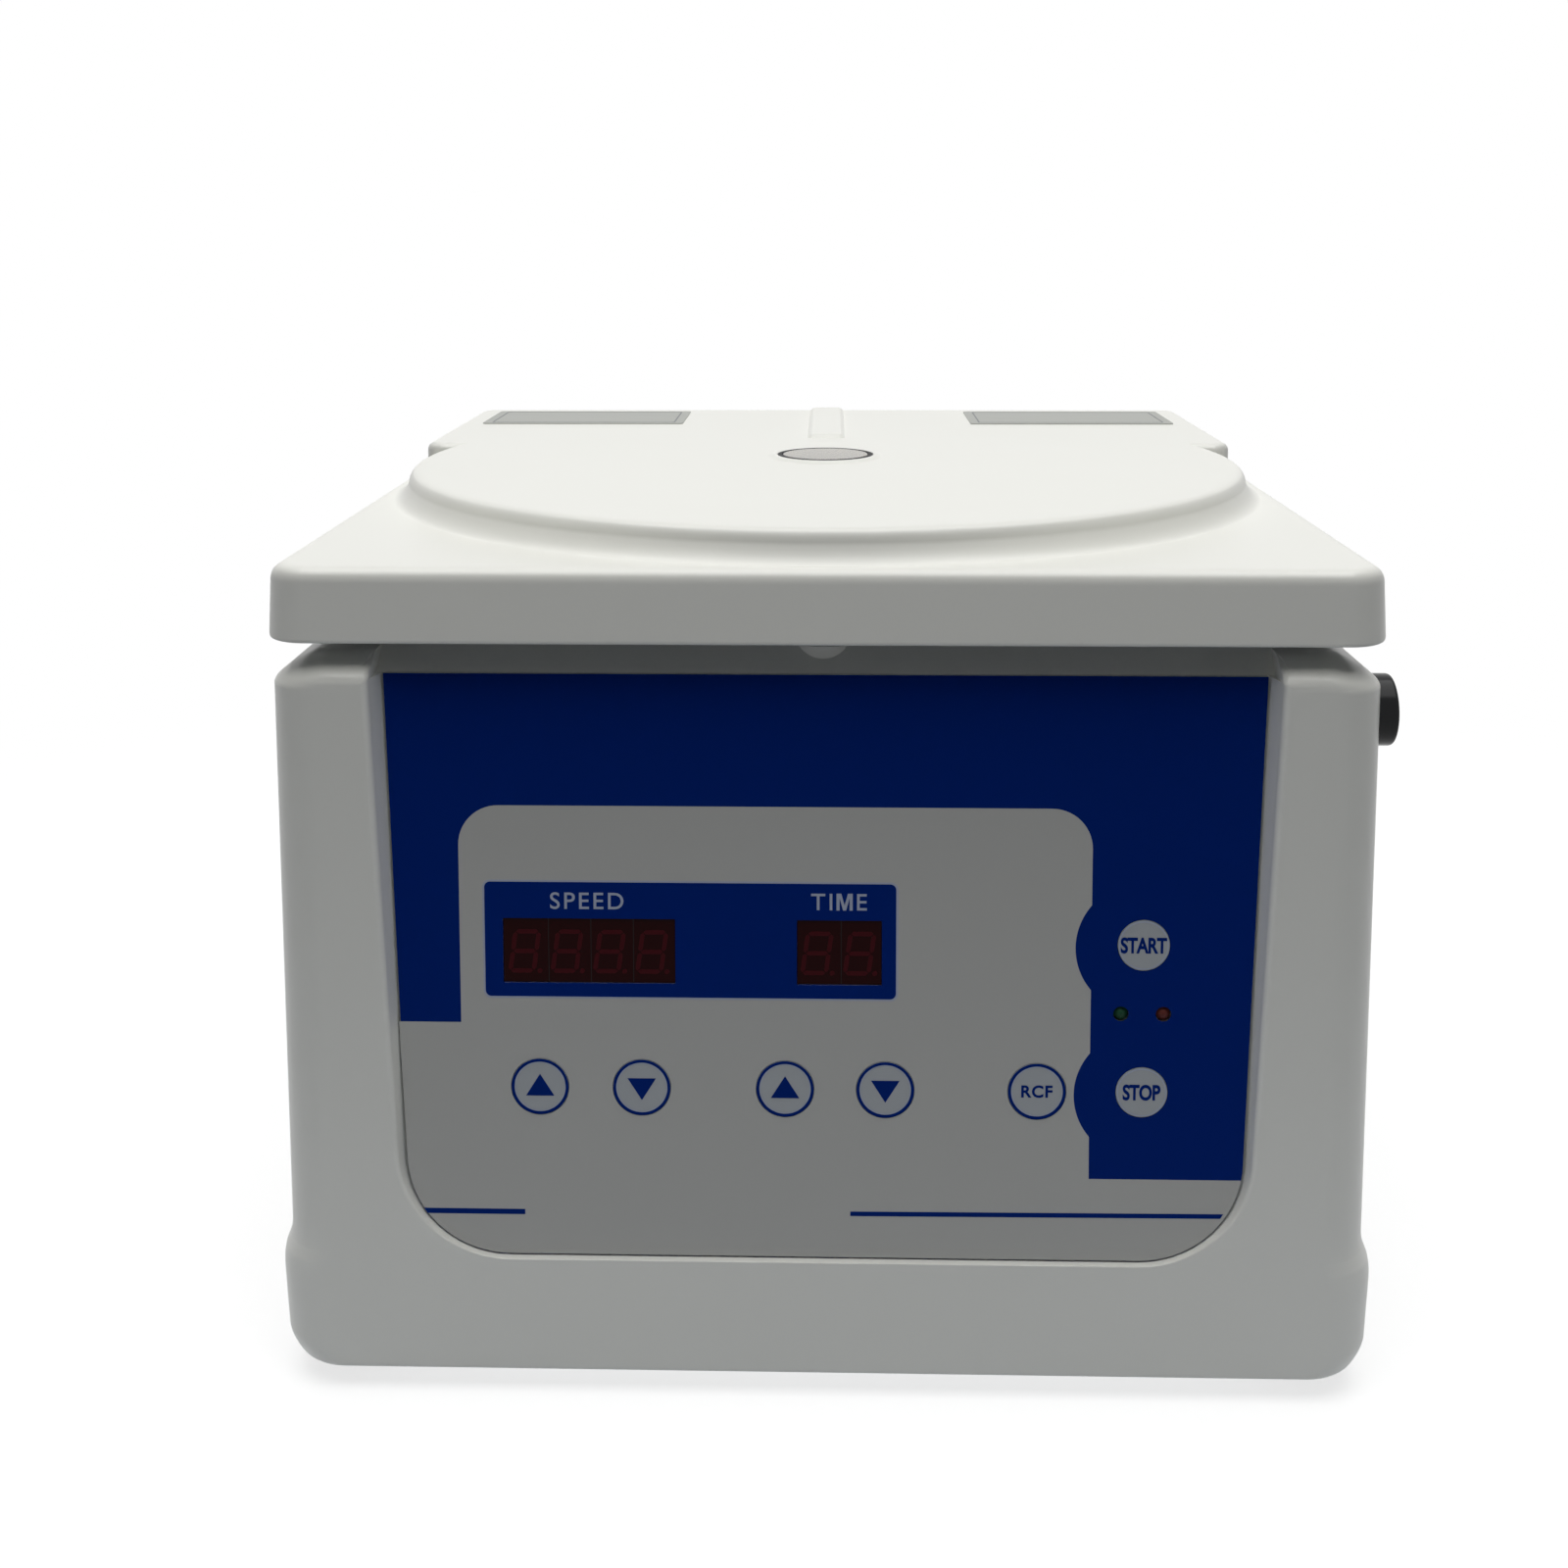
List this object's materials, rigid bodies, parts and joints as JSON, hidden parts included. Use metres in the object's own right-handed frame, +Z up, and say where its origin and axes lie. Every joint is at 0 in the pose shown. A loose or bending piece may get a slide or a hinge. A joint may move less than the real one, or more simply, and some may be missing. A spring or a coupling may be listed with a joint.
{
  "type": "platelet-rich plasma centrifuge",
  "caption": "Benchtop centrifuge with a hinged lid, a swing-out rotor in a round chamber, and a front panel with displays and keys.",
  "frame": {"origin": "centre of the machine's bounding box in plan, at the underside of the feet", "axes": "+Z up, the front panel faces -Y, +X to the right of someone who faces the panel"},
  "size_m": [0.3085, 0.3148, 0.2443],
  "materials": {
    "white_plastic": "moulded white plastic, satin",
    "black_plastic": "moulded black plastic",
    "grey_liner": "grey sheet plastic",
    "grey_label": "grey printed label, blank",
    "black_rubber": "matt black rubber",
    "grey_rubber": "grey rubber",
    "pale_seal": "pale silicone rubber",
    "stainless": "spun stainless steel",
    "steel": "bright steel",
    "zinc_plated": "zinc plated sheet",
    "aluminium": "turned aluminium",
    "panel_overlay": "printed blue and silver film on an aluminium plate",
    "key_face": "printed key face",
    "display_red": "dark red display window",
    "clear_window": "clear plastic window",
    "board_green": "green circuit board",
    "green_lamp": "green lamp, unlit",
    "red_lamp": "red lamp, unlit"
  },
  "bodies": {
    "base": {"housing": "white_plastic", "base_plate": "zinc_plated", "foot_front_left": "grey_rubber", "foot_front_right": "grey_rubber", "foot_rear_left": "grey_rubber", "foot_rear_right": "grey_rubber", "power_board": "board_green", "motor_bracket": "zinc_plated", "damper_1": "black_rubber", "damper_2": "black_rubber", "damper_3": "black_rubber", "motor_can": "zinc_plated", "lower_bearing": "steel", "upper_bearing": "steel", "chamber_bowl": "stainless", "chamber_seal": "pale_seal", "shaft_seal": "black_rubber", "lock_guide": "zinc_plated", "housing_leaf_left": "steel", "housing_leaf_right": "steel", "hinge_pin_left": "steel", "hinge_pin_right": "steel", "front_panel": "panel_overlay", "control_board": "board_green", "speed_display": "display_red", "time_display": "display_red", "run_lamp": "green_lamp", "stop_lamp": "red_lamp", "power_inlet": "black_plastic", "switch_frame": "black_plastic"},
    "lid": {"lid_shell": "white_plastic", "lid_liner": "grey_liner", "lid_window": "clear_window", "window_ring": "black_rubber", "lid_label_left": "grey_label", "lid_label_right": "grey_label", "striker": "steel", "lid_leaf_left": "steel", "lid_leaf_right": "steel"},
    "rotor": {"rotor_head": "aluminium", "rotor_nut": "steel", "motor_shaft": "steel", "motor_armature": "steel"},
    "lock": {"lock_button": "black_plastic", "lock_bolt": "steel", "lock_spring": "steel"},
    "rocker": {"power_rocker": "black_plastic"},
    "drawer": {"fuse_drawer": "black_plastic"},
    "bucket_1": {"bucket_1": "aluminium"},
    "bucket_2": {"bucket_2": "aluminium"},
    "bucket_3": {"bucket_3": "aluminium"},
    "bucket_4": {"bucket_4": "aluminium"},
    "speed_up_key": {"speed_up_key": "key_face"},
    "speed_down_key": {"speed_down_key": "key_face"},
    "time_up_key": {"time_up_key": "key_face"},
    "time_down_key": {"time_down_key": "key_face"},
    "rcf_key": {"rcf_key": "key_face"},
    "start_key": {"start_key": "key_face"},
    "stop_key": {"stop_key": "key_face"}
  },
  "joints": [
    {"name": "lid_hinge", "type": "hinge", "parent": "base", "child": "lid", "pos_m": [0, 0.15335, 0.209], "axis": [-1, 0, 0], "range_deg": [0, 85]},
    {"name": "rotor_spin", "type": "hinge", "parent": "base", "child": "rotor", "pos_m": [0, -0.00305, 0.186], "axis": [0, 0, 1], "continuous": true},
    {"name": "bucket_1_swing", "type": "hinge", "parent": "rotor", "child": "bucket_1", "pos_m": [0.036, -0.00305, 0.186], "axis": [0, -1, 0], "range_deg": [0, 90]},
    {"name": "bucket_2_swing", "type": "hinge", "parent": "rotor", "child": "bucket_2", "pos_m": [0, 0.03295, 0.186], "axis": [1, 0, 0], "range_deg": [0, 90]},
    {"name": "bucket_3_swing", "type": "hinge", "parent": "rotor", "child": "bucket_3", "pos_m": [-0.036, -0.00305, 0.186], "axis": [0, 1, 0], "range_deg": [0, 90]},
    {"name": "bucket_4_swing", "type": "hinge", "parent": "rotor", "child": "bucket_4", "pos_m": [0, -0.03905, 0.186], "axis": [-1, 0, 0], "range_deg": [0, 90]},
    {"name": "lock_press", "type": "slide", "parent": "base", "child": "lock", "axis": [-1, 0, 0], "range_m": [0, 0.0032], "stiffness_N_per_m": 300, "deforming": ["lock_spring"]},
    {"name": "speed_up_press", "type": "slide", "parent": "base", "child": "speed_up_key", "axis": [0, 0.9991, -0.0429], "range_m": [0, 0.0005], "stiffness_N_per_m": 400},
    {"name": "speed_down_press", "type": "slide", "parent": "base", "child": "speed_down_key", "axis": [0, 0.9991, -0.0429], "range_m": [0, 0.0005], "stiffness_N_per_m": 400},
    {"name": "time_up_press", "type": "slide", "parent": "base", "child": "time_up_key", "axis": [0, 0.9991, -0.0429], "range_m": [0, 0.0005], "stiffness_N_per_m": 400},
    {"name": "time_down_press", "type": "slide", "parent": "base", "child": "time_down_key", "axis": [0, 0.9991, -0.0429], "range_m": [0, 0.0005], "stiffness_N_per_m": 400},
    {"name": "rcf_press", "type": "slide", "parent": "base", "child": "rcf_key", "axis": [0, 0.9991, -0.0429], "range_m": [0, 0.0005], "stiffness_N_per_m": 400},
    {"name": "start_press", "type": "slide", "parent": "base", "child": "start_key", "axis": [0, 0.9991, -0.0429], "range_m": [0, 0.0005], "stiffness_N_per_m": 400},
    {"name": "stop_press", "type": "slide", "parent": "base", "child": "stop_key", "axis": [0, 0.9991, -0.0429], "range_m": [0, 0.0005], "stiffness_N_per_m": 400},
    {"name": "rocker_tilt", "type": "hinge", "parent": "base", "child": "rocker", "pos_m": [0.042, 0.14735, 0.065], "axis": [1, 0, 0], "range_deg": [0, 20]},
    {"name": "drawer_slide", "type": "slide", "parent": "base", "child": "drawer", "axis": [0, 1, 0], "range_m": [0, 0.012]}
  ]
}
